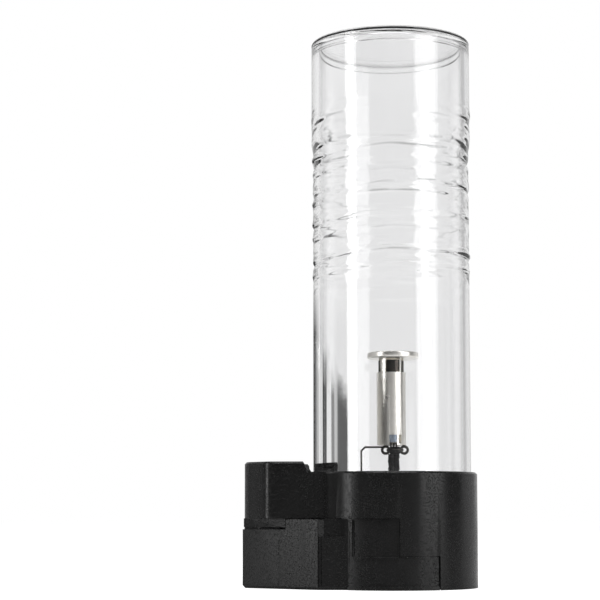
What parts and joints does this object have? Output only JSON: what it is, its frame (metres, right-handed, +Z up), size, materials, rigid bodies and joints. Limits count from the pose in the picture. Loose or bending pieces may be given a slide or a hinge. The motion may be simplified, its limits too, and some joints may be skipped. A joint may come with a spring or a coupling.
{
  "type": "hollow cathode lamp",
  "caption": "Sealed glass spectral lamp with a polished cathode assembly on wire leads, standing in a black moulded base that has a plug-in connector shroud underneath.",
  "frame": {"origin": "centre of the base's footprint box, on the plane the base rests on", "axes": "+Z up along the lamp tube to its window; -X towards the nose that carries the connector; -Y is the side with the apron and the bare label recess"},
  "size_m": [0.0738, 0.0538, 0.1746],
  "materials": {
    "clear_glass": "clear, polished",
    "housing_black": "fine grained moulding, satin",
    "connector_black": "spark-textured moulding",
    "cup_black": "smooth moulding",
    "bond_black": "bonding compound",
    "board_green": "circuit board",
    "chip_black": "moulded package",
    "terminal_plated": "tin plated",
    "contact_gold": "bright plated",
    "wire_insulation": "insulated wire",
    "nickel_polished": "polished nickel",
    "cathode_dark": "dark polished metal",
    "ceramic_pale": "unglazed",
    "getter_grey": "grey strip",
    "sleeve_black": "insulating sleeve",
    "lead_nickel": "drawn wire"
  },
  "bodies": {
    "root": {"anode_disc": "nickel_polished", "anode_lead": "lead_nickel", "base_housing": "housing_black", "bond_ring": "bond_black", "cathode_cup": "cathode_dark", "cathode_lead": "lead_nickel", "connector_base": "connector_black", "connector_board": "board_green", "contact_pin_1": "contact_gold", "contact_pin_2": "contact_gold", "contact_pin_3": "contact_gold", "contact_pin_4": "contact_gold", "disc_washer": "ceramic_pale", "end_window": "clear_glass", "getter_strip": "getter_grey", "glass_stem": "clear_glass", "glass_tube": "clear_glass", "graded_seal": "clear_glass", "hookup_wire_1": "wire_insulation", "hookup_wire_2": "wire_insulation", "hookup_wire_3": "wire_insulation", "hookup_wire_4": "wire_insulation", "insulator_sleeve": "ceramic_pale", "lead_bead": "sleeve_black", "lead_sleeve_1": "sleeve_black", "lead_sleeve_2": "sleeve_black", "lead_sleeve_3": "sleeve_black", "memory_chip": "chip_black", "shield_sleeve": "nickel_polished", "spring_clip": "nickel_polished", "support_lead_left": "lead_nickel", "support_lead_right": "lead_nickel", "terminal_cup": "cup_black", "terminal_pin_1": "terminal_plated", "terminal_pin_2": "terminal_plated", "terminal_pin_3": "terminal_plated", "terminal_pin_4": "terminal_plated", "terminal_pin_5": "terminal_plated", "window_sleeve": "clear_glass"}
  },
  "joints": []
}
